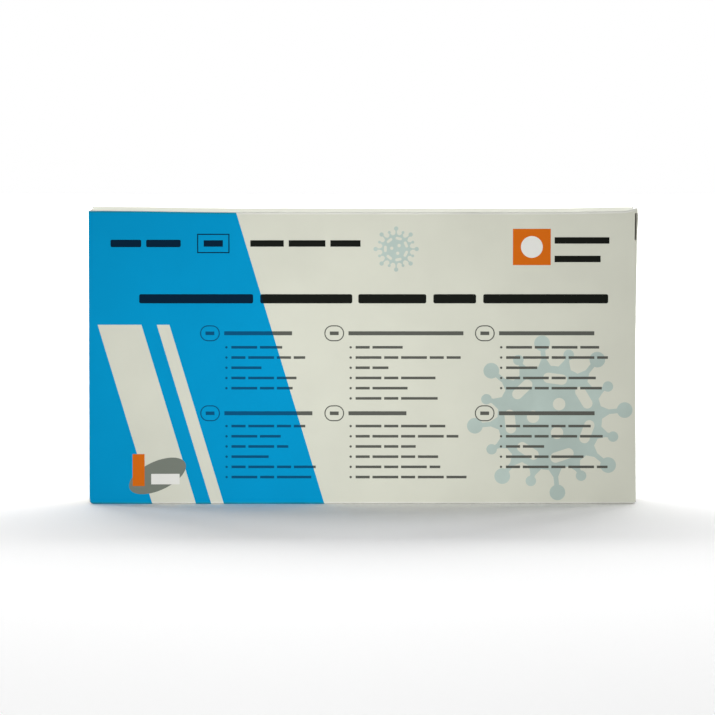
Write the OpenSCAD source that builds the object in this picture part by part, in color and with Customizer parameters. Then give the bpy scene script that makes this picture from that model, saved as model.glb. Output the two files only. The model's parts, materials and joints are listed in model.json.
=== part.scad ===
// Folding carton of a one-test kit, standing on its long narrow side, with its contents.
// X runs along the width, the printed front faces -Y and Z is up.
// The origin is the middle of the resting face.

/* [Carton] */
// Outer width of the front panel
carton_w = 178; // [170:1:210]
// Outer height, from the resting face to the top panel
carton_h = 95.3; // [84:0.1:120]
// Outer depth, front to back
carton_d = 21; // [19:0.5:36]
// Thickness of the board
board_t = 0.45; // [0.3:0.05:0.6]
// Inner radius of every crease
crease_r = 0.25; // [0.1:0.05:0.6]
// Rounding of the front panel's lower corners
corner_r = 1.6; // [0.8:0.1:4]
// Gap between layers of board that turn or slide past each other
play = 0.15; // [0.1:0.05:0.25]
// Width of the glued seam flap
seam_w = 13; // [8:1:16]
// Length that the seam flap loses at each end by its slanted cut
seam_slant = 6; // [2:1:12]
// Set-back of the bottom panel's cut edge from the back face
seam_step = 0.4; // [0.2:0.1:0.8]
// Thickness of the printed ink
ink_t = 0.05; // [0.03:0.01:0.1]

/* [Dust flaps] */
// Length of each dust flap, from the fold
dust_len = 24; // [14:1:32]
// Width that each side of a dust flap loses towards its free end
dust_taper = 2; // [0.5:0.5:4]
// Length of the straight root of a dust flap, before the taper
dust_root = 8; // [4:1:12]

/* [End closures] */
// Length of the tuck tongue
tongue_len = 12; // [8:0.5:14]
// Rounding of the tongue's free corners
tongue_r = 7; // [3:0.5:8]
// Length of the slit that frees each ear beside the tongue
ear_len = 8.8; // [5:0.2:14]
// Width of that slit
slit_w = 0.6; // [0.3:0.1:1.2]
// Set-back of a closure from the top and bottom faces
closure_inset = 0.6; // [0.6:0.1:2]
// Width cut from the front panel's edge beside the upper right ear
relief_w = 0.87; // [0.7:0.01:1.5]
// Set-back of that ear from the front face
ear_setback = 0.3; // [0.1:0.1:1]
// Set-back of the right closure from the top face, beside the relieved front panel
relieved_inset = 0.15; // [0.1:0.05:1]

/* [Foil pouch] */
// Room that the flat contents leave free above them
head_room = 18; // [15:1:30]
// Thickness of the pouch over its contents
pouch_t = 5.6; // [4.5:0.1:6]
// Width of the heat seals
seal_w = 8; // [5:0.5:10]
// Thickness of a heat seal
seal_t = 0.3; // [0.2:0.05:0.5]
// Width of the flat thing that the pouch bulges over
bulge_w = 72; // [50:1:80]
// Height of that thing
bulge_h = 24; // [18:1:30]
// Depth of the tear notches
notch = 2; // [1:0.5:4]
// Number of ridges pressed into each seal
seal_ridges = 4; // [2:1:5]

/* [Leaflet and bag] */
// How much narrower than the pouch the folded leaflet is
leaflet_less = 2; // [0:1:12]
// Number of layers in the folded leaflet
leaflet_layers = 8; // [4:2:10]
// Thickness of the leaflet's paper
paper_t = 0.1; // [0.06:0.01:0.12]
// Distance from one paper layer to the next
paper_pitch = 0.22; // [0.2:0.01:0.24]
// How much narrower and lower than the pouch the folded disposal bag is
bag_less = 5; // [1:1:20]
// Number of layers in the folded bag
bag_layers = 6; // [2:2:8]
// Thickness of the bag's film
film_t = 0.08; // [0.05:0.01:0.1]
// Distance from one film layer to the next
film_pitch = 0.18; // [0.15:0.01:0.2]

/* [Collection tube and cap] */
// Outer diameter of the tube
tube_d = 14.5; // [12:0.5:15]
// Length of the tube
tube_h = 58; // [45:1:60]
// Wall of the tube, cap and funnel
wall = 1; // [0.8:0.1:1.2]
// Outer diameter of the cap
cap_d = 17; // [16.5:0.1:17.5]
// Height of the cap's ribbed skirt
cap_h = 12; // [9:1:14]
// Height of the nozzle above the skirt
nozzle_h = 7; // [4:1:8]
// Diameter of the nozzle's tip
nozzle_d = 3; // [2.5:0.5:4]
// Number of grip ribs on the cap
cap_ribs = 24; // [12:2:36]

/* [Funnel] */
// Width of the funnel's oval mouth
mouth_w = 29; // [24:1:30]
// Depth of the funnel's oval mouth
mouth_d = 16.5; // [16:0.1:17.5]
// Height of the whole funnel
funnel_h = 32; // [26:1:40]
// Height of the funnel's round skirt
skirt_h = 11; // [8:1:14]
// Width of the lip round the mouth
lip_w = 0.6; // [0.3:0.1:0.8]
// Fit between the funnel's skirt and the tube it is made for
funnel_fit = 0.1; // [0.05:0.05:0.3]

/* [Buffer ampoule] */
// Diameter of the ampoule's body
ampoule_d = 9; // [7:0.5:9]
// Length of the ampoule's body
ampoule_len = 30; // [20:1:40]
// Diameter of its neck
neck_d = 4; // [3:0.5:5]
// Length of its neck
neck_len = 5; // [3:1:8]
// Length of the twist-off tab
tab_len = 11; // [8:1:16]
// Width of the tab
tab_w = 8; // [6:0.5:9]
// Thickness of the tab
tab_t = 1.4; // [1:0.1:2]

/* [Printed front] */
// Height of the title's bars
title_bar = 3.0; // [2.4:0.1:4]
// Height of the heading bars
heading_bar = 1.3; // [0.9:0.1:2]
// Height of the list bars
list_bar = 0.85; // [0.6:0.05:1.2]
// Diameter of the list's bullets
bullet_d = 0.8; // [0.5:0.1:1.2]
// Height of the bars in the top row
mark_bar = 2.1; // [1.6:0.1:2.6]
// Length of a long and a short word in a list line
long_word = 8.4; // [6:0.2:10]
short_word = 4.6; // [3:0.2:6]
// Gap between two words
word_gap = 0.9; // [0.5:0.1:1.4]
// Outer width of a marker ring
ring_w = 6.4; // [5:0.1:8]
// Outer height of a marker ring
ring_h = 5.2; // [4:0.1:6]
// Line width of rings and outlines
line_w = 0.35; // [0.25:0.05:0.6]
// Radius of the large rosette's disc
rosette_r = 17; // [12:0.5:20]
// Length of the large rosette's stalks, beyond the disc
stalk_len = 7.5; // [5:0.5:10]
// Number of stalks round a rosette
stalks = 16; // [8:2:20]
// Radius of the small rosette's disc
small_rosette_r = 4.6; // [3:0.2:6]
// Width of the tilted badge
badge_w = 20; // [14:0.5:24]
// Height of the tilted badge
badge_h = 9.4; // [7:0.2:12]
// Turn of the large rosette's first stalk
rosette_turn = 6; // [0:1:22]
// Tilt of the badge
badge_tilt = 25; // [0:1:35]

/* [Hidden] */
$fn = 48;
CARD = [0.78, 0.78, 0.74];
BLUE = [0.0, 0.56, 0.77];
ORANGE = [0.85, 0.4, 0.06];
DARK = [0.13, 0.13, 0.13];
TEAL = [0.62, 0.73, 0.72];
GREY = [0.47, 0.48, 0.45];
// A hair by which cuts pass the faces that they open
cut = 0.01;
// Outer radius of a crease
fold_r = crease_r + board_t;
// Distance from the middle to the hinge line of a closure
hinge_x = carton_w / 2;
hinge_y = carton_d / 2;
// Outer face of a dust flap
dust_x = hinge_x - board_t - play;
// End of the flat top and bottom panels, where the creases of the dust flaps begin
panel_x = dust_x - fold_r;
// Inner face of a dust flap: the end of the room inside
room_x = dust_x - board_t;
// Inner faces of the front and back panels
room_y = hinge_y - board_t;
// Top face of the seam flap, which the contents stand on
floor_z = 2 * board_t;
// Farthest that a closure may reach from its hinge line without meeting the front panel
reach = carton_d - board_t - play;
// Inward tilt of the tongue, which keeps its tip within that reach
tongue_tilt = asin((tongue_len + 2 * fold_r) / (2 * reach)) + 1;
// Set-back of a dust flap from the front panel, clear of the tongue as it swings
dust_back = reach * (1 - cos(tongue_tilt)) + 2 * board_t + 2 * play;
// Set-back of a dust flap from the back panel
dust_gap = 0.3;
// Lowest and highest edge of the tongue
tongue_z = closure_inset + ear_len + slit_w;

// The contents, from the back panel forwards, each with a hair of air
air = 0.1;
leaflet_t = (leaflet_layers - 1) * paper_pitch + paper_t;
leaflet_y = hinge_y - fold_r - leaflet_t;
bag_t = (bag_layers - 1) * film_pitch + film_t;
bag_y = leaflet_y - air - bag_t;
pouch_y = bag_y - air;
// Left edge of the flat contents
stack_x = -room_x + 1.5;
// Gap between things that stand side by side
side_gap = 0.4;
// Farthest reach of a tucked tongue from its hinge line
tongue_far = tongue_len + 2 * fold_r;
// The pouch fills the width that the cap, the funnel and a tucked tongue leave
pouch_w = hinge_x - tongue_far - stack_x - cap_d - mouth_w - 2 * lip_w - 3 * side_gap;
pouch_h = carton_h - board_t - floor_z - head_room;
leaflet_w = pouch_w - leaflet_less;
leaflet_h = pouch_h + 1;
bag_w = pouch_w - bag_less;
bag_h = pouch_h - bag_less;
// Height and width of the ridges on the seals
ridge_t = 0.12;
ridge_w = 0.5;
// Distance from the upper seal down to the tear notches
notch_drop = 4;
tube_x = stack_x + pouch_w + side_gap + cap_d / 2;
funnel_x = tube_x + cap_d / 2 + side_gap + mouth_w / 2 + lip_w;
skirt_d = tube_d + 2 * funnel_fit + 2 * wall;
// Fit between the cap and the tube
cap_fit = 0.1;
cap_lap = cap_h - wall - 1;
// The ampoule lies on the bottom panel in front of the seam flap
ampoule_y = -room_y + ampoule_d / 2 + 0.3;
ampoule_in = 20;
ampoule_x = stack_x + ampoule_in;

// Lays a drawing in the YZ plane and draws it out along X, from x0 to x1
module along_x(x0, x1) {
    translate([x0, 0, 0]) rotate([90, 0, 90]) linear_extrude(x1 - x0) children();
}

// Stands a drawing up in the XZ plane and draws it out along Y, from y0 to y1
module along_y(y0, y1) {
    translate([0, y1, 0]) rotate([90, 0, 0]) linear_extrude(y1 - y0) children();
}

// A rectangle with round corners, its lower left corner at the origin
module round_rect(w, h, r) {
    translate([r, 0]) square([w - 2 * r, h]);
    translate([0, r]) square([w, h - 2 * r]);
    for (x = [r, w - r], y = [r, h - r]) translate([x, y]) circle(r);
}

// A rectangle between two opposite corners
module span(x0, y0, x1, y1) {
    polygon([[x0, y0], [x1, y0], [x1, y1], [x0, y1]]);
}

// The section of one crease: a quarter ring in the quadrant that sx and sy name
module crease(cx, cy, sx, sy) {
    translate([cx, cy]) intersection() {
        difference() {
            circle(fold_r);
            circle(crease_r);
        }
        translate([sx > 0 ? 0 : -fold_r, sy > 0 ? 0 : -fold_r]) square(fold_r);
    }
}

// The front panel with the creases that turn on to the top and bottom
module front_panel() {
    difference() {
        along_x(-hinge_x, hinge_x) {
            span(-hinge_y, fold_r, -room_y, carton_h - fold_r);
            crease(-hinge_y + fold_r, fold_r, -1, -1);
            crease(-hinge_y + fold_r, carton_h - fold_r, -1, 1);
        }
        for (side = [-1, 1]) along_y(-hinge_y - cut, -hinge_y + fold_r + cut) lower_corner_cut(side);
        along_y(-hinge_y - cut, -hinge_y + fold_r + cut)
            translate([hinge_x - relief_w, carton_h - closure_inset - ear_len])
                square([relief_w + cut, closure_inset + ear_len + cut]);
    }
}

// What a round lower corner takes from the front panel
module lower_corner_cut(side) {
    difference() {
        translate([side > 0 ? hinge_x - corner_r : -hinge_x - cut, -cut]) square(corner_r + cut);
        translate([side * (hinge_x - corner_r), corner_r]) circle(corner_r);
    }
}

// The back panel with its upper crease and the one that turns into the seam flap
module back_panel() {
    along_x(-dust_x, dust_x) {
        span(room_y, board_t + fold_r, hinge_y, carton_h - fold_r);
        crease(hinge_y - fold_r, carton_h - fold_r, 1, 1);
        crease(hinge_y - fold_r, board_t + fold_r, 1, -1);
    }
}

// The seam flap, glued to the bottom panel, with slanted ends
module seam_flap() {
    translate([0, 0, board_t]) linear_extrude(board_t) polygon([
        [-panel_x, hinge_y - fold_r], [panel_x, hinge_y - fold_r],
        [panel_x - seam_slant, room_y - seam_w], [-panel_x + seam_slant, room_y - seam_w],
    ]);
}

// The top and bottom panels, up to the creases of their dust flaps
module top_panel() {
    along_x(-panel_x, panel_x) span(-hinge_y + fold_r, carton_h - board_t, hinge_y - fold_r, carton_h);
}

module bottom_panel() {
    along_x(-panel_x, panel_x) span(-hinge_y + fold_r, 0, hinge_y - seam_step, board_t);
}

// A dust flap at the upper right corner, with its crease
module dust_flap() {
    y0 = -room_y + dust_back;
    y1 = room_y - dust_gap;
    along_y(y0, y1) crease(panel_x, carton_h - fold_r, 1, 1);
    translate([room_x, 0, carton_h]) rotate([90, 0, 90]) linear_extrude(board_t) polygon([
        [y0, -fold_r], [y1, -fold_r], [y1, -dust_root], [y1 - dust_taper, -dust_len + dust_taper],
        [y1 - 2 * dust_taper, -dust_len], [y0 + 2 * dust_taper, -dust_len],
        [y0 + dust_taper, -dust_len + dust_taper], [y0, -dust_root],
    ]);
}

// The same flap at the lower right corner
module lower_dust_flap() {
    translate([0, 0, carton_h]) mirror([0, 0, 1]) dust_flap();
}

module carton_sleeve() color(CARD) {
    front_panel();
    top_panel();
    back_panel();
    seam_flap();
    bottom_panel();
    for (side = [0, 1]) mirror([side, 0, 0]) {
        dust_flap();
        lower_dust_flap();
    }
}

// Plan of a closure's plain panel, from its hinge line to distance far
module closure_plan(far) {
    translate([-board_t, -far]) square([board_t, far]);
}

// Plan of the fold between a closure and its tongue, a round bend of more than a right angle
module tongue_bend() {
    translate([-fold_r, -reach + fold_r]) intersection() {
        difference() {
            circle(fold_r);
            circle(crease_r);
        }
        polygon([
            [0, 0], [2 * fold_r, 0], [2 * fold_r, -2 * fold_r], [-2 * fold_r, -2 * fold_r],
            [-2 * fold_r * sin(tongue_tilt), -2 * fold_r * cos(tongue_tilt)],
        ]);
    }
}

// The tongue: a flat tab with round free corners, tilted in behind the front panel
module tongue() {
    wide = carton_h - 2 * tongue_z;
    translate([-fold_r, -reach + fold_r, tongue_z]) rotate([0, 0, -tongue_tilt])
        translate([-tongue_len, -crease_r, 0]) rotate([90, 0, 0]) linear_extrude(board_t) intersection() {
            square([tongue_len, wide]);
            round_rect(2 * tongue_len, wide, tongue_r);
        }
}

// A closure at the right end, with its hinge line at the origin. Its upper ear and top edge may differ.
module closure(upper_reach, upper_inset) {
    top = carton_h - upper_inset;
    upper_ear = carton_h - closure_inset - ear_len;
    translate([0, 0, closure_inset]) linear_extrude(top - closure_inset) closure_plan(reach - fold_r);
    translate([0, 0, closure_inset]) linear_extrude(ear_len) closure_plan(reach);
    translate([0, 0, upper_ear]) linear_extrude(top - upper_ear) closure_plan(upper_reach);
    translate([0, 0, tongue_z]) linear_extrude(carton_h - 2 * tongue_z) tongue_bend();
    tongue();
}

module right_closure() color(CARD) {
    translate([hinge_x, hinge_y, 0]) closure(carton_d - ear_setback, relieved_inset);
}

module left_closure() color(CARD) {
    mirror([1, 0, 0]) translate([hinge_x, hinge_y, 0]) closure(reach, closure_inset);
}

// The pouch's outline, with a tear notch in each short side near the top
module pouch_outline() {
    notch_z = pouch_h - seal_w - notch_drop;
    difference() {
        square([pouch_w, pouch_h]);
        for (x = [0, pouch_w]) translate([x, notch_z]) rotate(45) square(notch, center = true);
    }
}

// One flat step of the pouch's swelling: an oblong with round corners round the thing inside
module pouch_step(grow, depth) {
    w = min(bulge_w + 2 * grow, pouch_w - 2 * seal_w);
    h = min(bulge_h + 2 * grow, pouch_h - 2 * seal_w);
    translate([(pouch_w - w) / 2, (pouch_h - h) / 2, 0]) linear_extrude(depth) round_rect(w, h, 5, $fn = 32);
}

module foil_pouch() color("silver") {
    translate([stack_x, pouch_y, floor_z]) rotate([90, 0, 0]) {
        linear_extrude(seal_t) pouch_outline();
        hull() {
            pouch_step(pouch_w, seal_t + ridge_t);
            pouch_step(12, pouch_t * 0.55);
            pouch_step(3, pouch_t * 0.88);
            pouch_step(0, pouch_t);
        }
        for (i = [1 : seal_ridges]) {
            place = i * seal_w / (seal_ridges + 1);
            for (z = [place, pouch_h - place]) translate([seal_w, z, seal_t])
                linear_extrude(ridge_t) square([pouch_w - 2 * seal_w, ridge_w]);
            for (x = [place, pouch_w - place]) translate([x, seal_w, seal_t])
                linear_extrude(ridge_t) square([ridge_w, pouch_h - 3 * seal_w - notch_drop]);
        }
    }
}

// Plan of a sheet folded to and fro, with round bends at alternate ends
module folded_plan(w, sheet, pitch, layers) {
    bend_r = (pitch + sheet) / 2;
    for (i = [0 : layers - 1]) translate([bend_r, i * pitch]) square([w - 2 * bend_r, sheet]);
    for (i = [0 : layers - 2]) {
        right = i % 2 == 0;
        translate([right ? w - bend_r : bend_r, i * pitch + bend_r]) intersection() {
            difference() {
                circle(bend_r, $fn = 16);
                circle(bend_r - sheet, $fn = 16);
            }
            translate([right ? 0 : -bend_r, -bend_r]) square([bend_r, 2 * bend_r]);
        }
    }
}

module leaflet() color("white") {
    translate([stack_x, leaflet_y, floor_z]) linear_extrude(leaflet_h)
        folded_plan(leaflet_w, paper_t, paper_pitch, leaflet_layers);
}

module disposal_bag() color("gold") {
    translate([stack_x, bag_y, floor_z]) linear_extrude(bag_h)
        folded_plan(bag_w, film_t, film_pitch, bag_layers);
}

// The tube stands on a short foot and has a round-bottomed bore
module collection_tube() color("aliceblue") {
    foot = 2;
    bore_r = tube_d / 2 - wall;
    translate([tube_x, 0, floor_z]) difference() {
        rotate_extrude() {
            square([tube_d / 2, tube_h]);
            translate([0, tube_h - cap_lap - cap_fit - wall]) square([cap_d / 2 - 0.4, wall]);
        }
        translate([0, 0, foot + bore_r]) sphere(bore_r);
        translate([0, 0, foot + bore_r]) cylinder(h = tube_h, r = bore_r);
        translate([0, 0, -cut]) cylinder(h = foot / 2, r = bore_r - wall);
    }
}

// The ribbed cap sits over the tube's mouth and tapers to a drop nozzle
module nozzle_cap() color("white") {
    inner_r = tube_d / 2 + cap_fit;
    rib_r = 0.4;
    translate([tube_x, 0, floor_z + tube_h - cap_lap]) {
        rotate_extrude() polygon([
            [inner_r, 0], [cap_d / 2 - rib_r, 0], [cap_d / 2 - rib_r, cap_h],
            [nozzle_d / 2 + wall, cap_h + 1], [nozzle_d / 2, cap_h + nozzle_h],
            [0.4, cap_h + nozzle_h], [0.4, cap_lap + cap_fit + 0.2],
            [inner_r, cap_lap + cap_fit],
        ]);
        for (i = [0 : cap_ribs - 1]) rotate(i * 360 / cap_ribs)
            translate([cap_d / 2 - rib_r, 0, 0]) cylinder(h = cap_h - 1, r = rib_r, $fn = 16);
    }
}

// An oval made of two circles, at height z
module oval(w, d, z, h) {
    for (side = [-1, 1]) translate([side * (w - d) / 2, 0, z]) cylinder(h = h, d = d, $fn = 32);
}

// The funnel stands on its oval mouth, with its round skirt up
module collection_funnel() color("white") {
    lip_h = 1;
    flare_h = funnel_h - skirt_h;
    throat_d = tube_d - 4 * wall;
    shoulder = 0.3;
    translate([funnel_x, 0, floor_z]) difference() {
        union() {
            hull() oval(mouth_w + 2 * lip_w, mouth_d + 2 * lip_w, 0, lip_h);
            hull() {
                oval(mouth_w, mouth_d, lip_h / 2, lip_h);
                translate([0, 0, flare_h]) cylinder(h = 1, d = skirt_d - shoulder, $fn = 32);
            }
            translate([0, 0, flare_h - 1]) cylinder(h = skirt_h + 1, d = skirt_d);
        }
        hull() {
            oval(mouth_w - 2 * wall, mouth_d - 2 * wall, -1, 1 + lip_h);
            translate([0, 0, flare_h - 2]) cylinder(h = 1, d = throat_d, $fn = 32);
        }
        translate([0, 0, flare_h - 3]) cylinder(h = 4, d = throat_d + shoulder);
        translate([0, 0, flare_h]) cylinder(h = skirt_h + 1, d = tube_d + 2 * funnel_fit);
    }
}

// The ampoule lies along X: body, shoulder, neck and twist-off tab, moulded as one
module buffer_ampoule() color("lightcyan") {
    r = ampoule_d / 2;
    shoulder = 3;
    translate([ampoule_x, ampoule_y, board_t + r]) rotate([0, 90, 0]) {
        rotate_extrude() polygon([
            [0, 0], [r - 1, 0], [r, 1], [r, ampoule_len], [neck_d / 2, ampoule_len + shoulder],
            [neck_d / 2, ampoule_len + shoulder + neck_len], [0, ampoule_len + shoulder + neck_len],
        ]);
        translate([-tab_t / 2, -tab_w / 2, ampoule_len + shoulder + neck_len - 1])
            rotate([90, 0, 90]) linear_extrude(tab_t) round_rect(tab_w, tab_len, 1.5);
    }
}

// Places on the artwork, in hundredths of the front panel's width and height
function ax(u) = carton_w * (u / 100 - 0.5);
function az(v) = carton_h * v / 100;

// The title's words: left end and right end
TITLE = [[9.2, 30.0], [31.3, 48.1], [49.2, 61.6], [62.9, 70.7], [72.0, 94.8]];
title_v = 70.4;
// The three columns of the list: left end of the heading, of the lines and of the bullets
COLUMNS = [24.7, 47.4, 74.9];
text_in = 1.3;
bullet_in = 0.4;
ring_out = 2.6;
// Heading heights and lengths, for the upper and lower group
HEADINGS = [[58.6, [12.4, 21.0, 17.4]], [31.2, [16.1, 10.6, 17.5]]];
// Height of the first line of each group, and the drop from line to line
LINES_TOP = [53.8, 26.8];
line_drop = 3.5;
// Line lengths, per group and column
LINE_LENGTHS = [
    [[9.3, 13.5, 5.5, 11.9, 11.2], [8.6, 19.2, 6.0, 14.6, 9.5, 15.0], [17.0, 18.6, 5.7, 16.4, 17.5]],
    [[13.5, 9.0, 10.4, 6.8, 15.4, 14.6], [16.4, 18.8, 11.0, 15.1, 15.5, 20.3], [15.5, 17.7, 7.0, 14.2, 18.6]],
];
// Marks and reference words along the top: left end and right end
FIELD_MARKS = [[4.0, 9.6], [10.5, 16.8]];
FIELD_BOX = [19.8, 25.7];
REFERENCE = [[29.5, 35.6], [36.5, 43.2], [44.1, 49.6]];
// How far the middle of that row is below the top, in hundredths of the height
marks_drop = 10.7;
// The block: left and right end, and lower and upper edge
BLOCK_ENDS = [77.4, 84.3];
BLOCK_EDGES = [81.9, 94.3];
// The two lines beside it: how far up the block they are, from 0 to 1, and their ends
BLOCK_LINES = [[0.68, [85.0, 95.0]], [0.17, [85.0, 93.4]]];

// A bar of the given height, its middle at height v, from u0 to u1
module bar(u0, u1, v, tall) {
    translate([ax(u0), az(v) - tall / 2]) square([ax(u1) - ax(u0), tall]);
}

// The same bar with round corners
module round_bar(u0, u1, v, tall) {
    translate([ax(u0), az(v) - tall / 2]) round_rect(ax(u1) - ax(u0), tall, tall / 5);
}

module title_shape() {
    for (word = TITLE) round_bar(word[0], word[1], title_v, title_bar);
}

module heading_shape() {
    for (group = HEADINGS, i = [0 : 2]) bar(COLUMNS[i], COLUMNS[i] + group[1][i], group[0], heading_bar);
}

// A line of word-long bars, from x0 to x1: long and short words take turns, and what is left ends the line
module words(x0, x1, z, long_first) {
    word = long_first ? long_word : short_word;
    rest = x1 - x0 - word - word_gap;
    ends_here = rest < short_word * 0.7;
    translate([x0, z - list_bar / 2]) square([ends_here ? x1 - x0 : word, list_bar]);
    if (!ends_here) words(x0 + word + word_gap, x1, z, !long_first);
}

module list_shape() {
    for (g = [0, 1], i = [0 : 2], k = [0 : len(LINE_LENGTHS[g][i]) - 1]) {
        z = az(LINES_TOP[g] - k * line_drop);
        left = COLUMNS[i] + text_in;
        words(ax(left), ax(left + LINE_LENGTHS[g][i][k]), z, (g + i + k) % 2 == 0);
        translate([ax(COLUMNS[i] + bullet_in), z]) circle(d = bullet_d, $fn = 12);
    }
}

module ring_shape() {
    for (group = HEADINGS, i = [0 : 2]) translate([ax(COLUMNS[i] - ring_out), az(group[0])]) {
        difference() {
            translate([-ring_w / 2, -ring_h / 2]) round_rect(ring_w, ring_h, ring_h * 0.49, $fn = 32);
            translate([-ring_w / 2 + line_w, -ring_h / 2 + line_w])
                round_rect(ring_w - 2 * line_w, ring_h - 2 * line_w, ring_h * 0.49 - line_w, $fn = 32);
        }
        square([ring_w * 0.45, heading_bar * 0.9], center = true);
    }
}

module reference_shape() {
    for (word = REFERENCE) bar(word[0], word[1], 100 - marks_drop, mark_bar);
}

module block_shape() {
    translate([ax(BLOCK_ENDS[0]), az(BLOCK_EDGES[0])])
        square([ax(BLOCK_ENDS[1]) - ax(BLOCK_ENDS[0]), az(BLOCK_EDGES[1]) - az(BLOCK_EDGES[0])]);
}

module block_disc_shape() {
    low = az(BLOCK_EDGES[0]);
    high = az(BLOCK_EDGES[1]);
    translate([(ax(BLOCK_ENDS[0]) + ax(BLOCK_ENDS[1])) / 2, (low + high) / 2]) circle(d = (high - low) * 0.6);
}

module block_bars_shape() {
    rise = BLOCK_EDGES[1] - BLOCK_EDGES[0];
    for (line = BLOCK_LINES) bar(line[1][0], line[1][1], BLOCK_EDGES[0] + line[0] * rise, mark_bar);
}

// An oblong with round ends, centred on the origin
module oblong(long, wide) {
    square([long - wide, wide], center = true);
    for (side = [-1, 1]) translate([side * (long - wide) / 2, 0]) circle(d = wide, $fn = 24);
}

// One stalk along X: a flared root on the rim of a disc, a thin stem and a round knob
module stalk(r, far, knob) {
    root = r * 0.15;
    stem = r * 0.045;
    polygon([[r * 0.94, -root], [r * 1.14, -stem], [far, -stem], [far, stem], [r * 1.14, stem], [r * 0.94, root]]);
    translate([far, 0]) circle(knob, $fn = 24);
}

// A disc with long and short stalks in turn, bare oblong spots inside its rim and round ones in its middle
module rosette_shape(r, reach_out, count, turn) {
    rim_spots = 7;
    difference() {
        union() {
            circle(r);
            for (i = [0 : count - 1]) rotate(turn + i * 360 / count)
                if (i % 2 == 0) stalk(r, r + reach_out, r * 0.15);
                else stalk(r, r + reach_out * 0.6, r * 0.1);
        }
        for (i = [0 : rim_spots - 1]) rotate(turn + 25 + i * 360 / rim_spots)
            translate([r * 0.76, 0]) rotate(90) oblong(r * 0.46, r * 0.2);
        for (i = [0 : 2]) rotate(turn + 50 + i * 120) translate([r * 0.32, 0]) circle(r * 0.12, $fn = 24);
    }
}

module panel_shape() {
    translate([-hinge_x, fold_r]) square([carton_w - relief_w, carton_h - 2 * fold_r]);
}

module large_rosette_shape() {
    intersection() {
        translate([ax(84.2), az(29.6)]) rosette_shape(rosette_r, stalk_len, stalks, rosette_turn);
        panel_shape();
    }
}

module small_rosette_shape() {
    translate([ax(56.1), az(87.4)]) rosette_shape(small_rosette_r, small_rosette_r * 0.45, stalks, 0);
}

// The coloured field: its slanted right edge, with two bare bands of the same slant
field_right = 43.0;
field_slant = 16.1;
module slanted(u0, u1, v1) {
    drop = field_slant * v1 / 100;
    polygon([[ax(u0), 0], [ax(u1), 0], [ax(u1 - drop), az(v1)], [ax(u0 - drop), az(v1)]]);
}

module field_shape() {
    difference() {
        intersection() {
            polygon([
                [-carton_w, 0], [ax(field_right), 0],
                [ax(field_right - field_slant), carton_h], [-carton_w, carton_h],
            ]);
            difference() {
                translate([-hinge_x, fold_r]) square([carton_w, carton_h - 2 * fold_r]);
                lower_corner_cut(-1);
            }
        }
        slanted(11.5, 19.5, 62);
        slanted(22.3, 24.6, 62);
    }
}

// Marks on the coloured field: two bars and an outlined box with a bar in it
module field_marks_shape() {
    marks_v = 100 - marks_drop;
    for (mark = FIELD_MARKS) round_bar(mark[0], mark[1], marks_v, mark_bar * 1.15);
    box_w = ax(FIELD_BOX[1]) - ax(FIELD_BOX[0]);
    box_h = 3 * mark_bar;
    translate([ax(FIELD_BOX[0]), az(marks_v) - box_h / 2]) difference() {
        square([box_w, box_h]);
        translate([line_w, line_w]) square([box_w - 2 * line_w, box_h - 2 * line_w]);
    }
    bar(FIELD_BOX[0] + 1.2, FIELD_BOX[1] - 1.2, marks_v, mark_bar);
}

// The badge: a tilted oval with an upright stripe and a bar beside it
module on_badge() {
    translate([ax(12.45), az(9.7)]) rotate(badge_tilt) children();
}

module badge_shape() {
    on_badge() resize([badge_w, badge_h]) circle(d = badge_w, $fn = 64);
}

module badge_stripe_shape() {
    translate([ax(9.0), az(11.7)]) square([ax(2.2) - ax(0), az(11.0)], center = true);
}

module badge_bar_shape() {
    translate([ax(13.9), az(8.6)]) square([ax(5.2) - ax(0), az(3.6)], center = true);
}

// All dark print, which the coloured shapes under it leave room for
module overprint_shape() {
    title_shape();
    heading_shape();
    list_shape();
    ring_shape();
}

// Lays a drawing on the front face as a layer of ink
module printed() {
    along_y(-hinge_y - ink_t, -hinge_y) children();
}

module print_field() color(BLUE) printed() difference() {
    field_shape();
    overprint_shape();
    field_marks_shape();
    badge_shape();
    badge_stripe_shape();
}

module print_field_marks() color(DARK) printed() field_marks_shape();
module print_block() color(ORANGE) printed() difference() {
    block_shape();
    block_disc_shape();
}
module print_block_disc() color("white") printed() block_disc_shape();
module print_block_bars() color(DARK) printed() block_bars_shape();
module print_reference_bars() color(GREY) printed() reference_shape();
module print_title_bars() color(DARK) printed() title_shape();
module print_heading_bars() color(DARK) printed() heading_shape();
module print_list_bars() color(DARK) printed() list_shape();
module print_rings() color(DARK) printed() ring_shape();
module print_small_rosette() color(TEAL) printed() small_rosette_shape();
module print_large_rosette() color(TEAL) printed() difference() {
    large_rosette_shape();
    overprint_shape();
}
module print_badge() color(GREY) printed() difference() {
    badge_shape();
    badge_stripe_shape();
    badge_bar_shape();
}
module print_badge_stripe() color(ORANGE) printed() badge_stripe_shape();
module print_badge_bar() color("white") printed() badge_bar_shape();

carton_sleeve();
left_closure();
right_closure();
foil_pouch();
leaflet();
disposal_bag();
collection_tube();
nozzle_cap();
collection_funnel();
buffer_ampoule();
print_field();
print_field_marks();
print_block();
print_block_disc();
print_block_bars();
print_reference_bars();
print_title_bars();
print_heading_bars();
print_list_bars();
print_rings();
print_small_rosette();
print_large_rosette();
print_badge();
print_badge_stripe();
print_badge_bar();
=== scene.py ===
"""Lengths in the making of pieces are millimetres, and to_metres() turns points into Blender's metres.
The carton is board, built as a folded sheet with a real thickness. Its front carries thin layers of print.
"""

import json
import math

import bmesh
import bpy
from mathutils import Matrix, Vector, noise


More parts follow.
